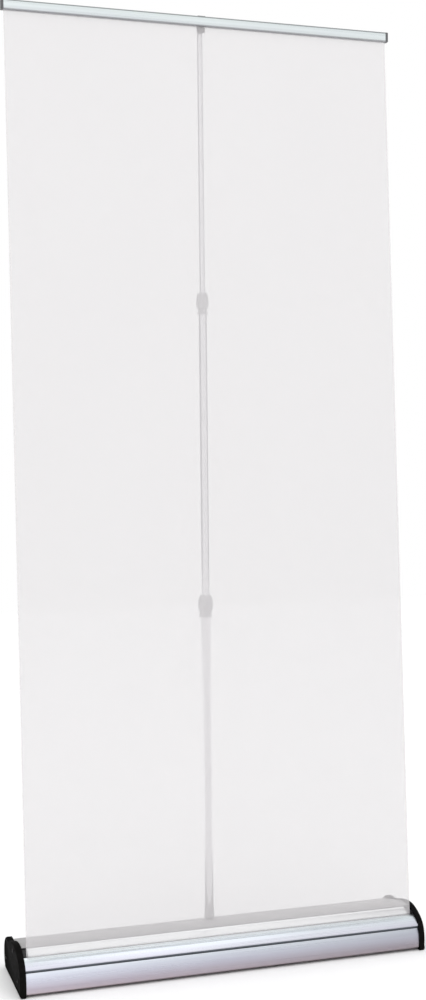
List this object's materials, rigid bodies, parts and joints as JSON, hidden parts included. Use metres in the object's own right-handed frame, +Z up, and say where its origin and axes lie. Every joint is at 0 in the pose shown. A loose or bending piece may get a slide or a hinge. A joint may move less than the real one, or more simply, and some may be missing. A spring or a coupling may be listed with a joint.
{
  "type": "roll-up banner stand",
  "caption": "Retractable roll-up banner stand: sprung roller in a wide silver cassette with black end caps, telescopic rear pole and snap rail holding a frosted banner film.",
  "frame": {"origin": "on the floor, under the middle of the cassette", "axes": "+X to the right along the banner as seen from the front, +Y to the back, +Z up"},
  "size_m": [0.9598, 0.2201, 2.1803],
  "materials": {
    "anodised_aluminium": "satin anodised, fine lines along the extrusion",
    "bright_aluminium": "bright anodised",
    "grey_cover": "semi-matt grey coating",
    "slate_trim": "dark slate, matt",
    "black_cap": "black moulded, glossy edges",
    "black_insert": "black moulded, matt",
    "pale_plastic": "pale grey moulded",
    "satin_tube": "satin drawn tube",
    "zinc_steel": "zinc plated",
    "black_steel": "blackened, with a cross recess",
    "dark_plastic": "dark grey moulded",
    "rubber_pad": "matt rubber",
    "silver_rail": "satin anodised, pale",
    "frosted_film": "frosted translucent blank film",
    "leader_film": "plain wound film"
  },
  "bodies": {
    "cassette": {"base_extrusion": "anodised_aluminium", "front_fascia": "anodised_aluminium", "groove_trim": "slate_trim", "rear_cover": "grey_cover", "slot_guide": "bright_aluminium", "slot_end_block_left": "black_insert", "slot_end_block_right": "black_insert", "end_cap_left": "black_cap", "end_cap_right": "black_cap", "end_plate_left": "zinc_steel", "end_plate_right": "zinc_steel", "cap_screw_left_1": "black_steel", "cap_screw_left_2": "black_steel", "cap_screw_left_3": "black_steel", "cap_screw_right_1": "black_steel", "cap_screw_right_2": "black_steel", "cap_screw_right_3": "black_steel", "foot_pad_1": "rubber_pad", "foot_pad_2": "rubber_pad", "foot_pad_3": "rubber_pad", "foot_pad_4": "rubber_pad", "pole_socket": "pale_plastic", "pole_tube_lower": "satin_tube", "pole_foot_plug": "black_insert", "collar_ring_lower": "pale_plastic", "collar_sleeve_lower": "pale_plastic", "spring_arbor": "zinc_steel", "roller_axle_pin": "zinc_steel", "graphic": "frosted_film"},
    "roller": {"roller_tube": "anodised_aluminium", "leader_roll": "leader_film", "roller_plug_left": "pale_plastic", "roller_plug_right": "pale_plastic", "torsion_spring": "zinc_steel"},
    "pole_middle": {"pole_tube_middle": "satin_tube", "guide_bush_middle": "pale_plastic", "collar_ring_upper": "pale_plastic", "collar_sleeve_upper": "pale_plastic"},
    "pole_upper": {"pole_tube_upper": "satin_tube", "guide_bush_upper": "pale_plastic", "pole_top_pin": "black_insert", "rail_hanger": "black_insert", "rail_back_jaw": "silver_rail", "rail_end_cap_left": "dark_plastic", "rail_end_cap_right": "dark_plastic"},
    "lower_knob": {"collar_knob_lower": "pale_plastic"},
    "upper_knob": {"collar_knob_upper": "pale_plastic"},
    "rail_front": {"rail_front_jaw": "silver_rail"}
  },
  "joints": [
    {"name": "pole_mid_slide", "type": "slide", "parent": "cassette", "child": "pole_middle", "axis": [0, 0, 1], "range_m": [-0.62, 0], "deforming": ["graphic"]},
    {"name": "pole_upper_slide", "type": "slide", "parent": "pole_middle", "child": "pole_upper", "axis": [0, 0, 1], "range_m": [-0.558, 0], "deforming": ["graphic"]},
    {"name": "roller_spin", "type": "hinge", "parent": "cassette", "child": "roller", "pos_m": [0, -0.04962, 0.04282], "axis": [1, 0, 0], "range_deg": [0, 2874]},
    {"name": "lower_lock_twist", "type": "hinge", "parent": "cassette", "child": "lower_knob", "pos_m": [0, 0.0608, 0.82], "axis": [0, 0, 1], "range_deg": [0, 90]},
    {"name": "upper_lock_twist", "type": "hinge", "parent": "pole_middle", "child": "upper_knob", "pos_m": [0, 0.0608, 1.525], "axis": [0, 0, 1], "range_deg": [0, 90]},
    {"name": "rail_front_open", "type": "hinge", "parent": "pole_upper", "child": "rail_front", "pos_m": [0, 0.04115, 2.1735], "axis": [-1, 0, 0], "range_deg": [0, 70]}
  ],
  "couplings": [
    {"joint": "pole_upper_slide", "follows": "pole_mid_slide", "ratio": 0.9},
    {"joint": "roller_spin", "follows": "pole_mid_slide", "rad_per_m": -80.862}
  ]
}
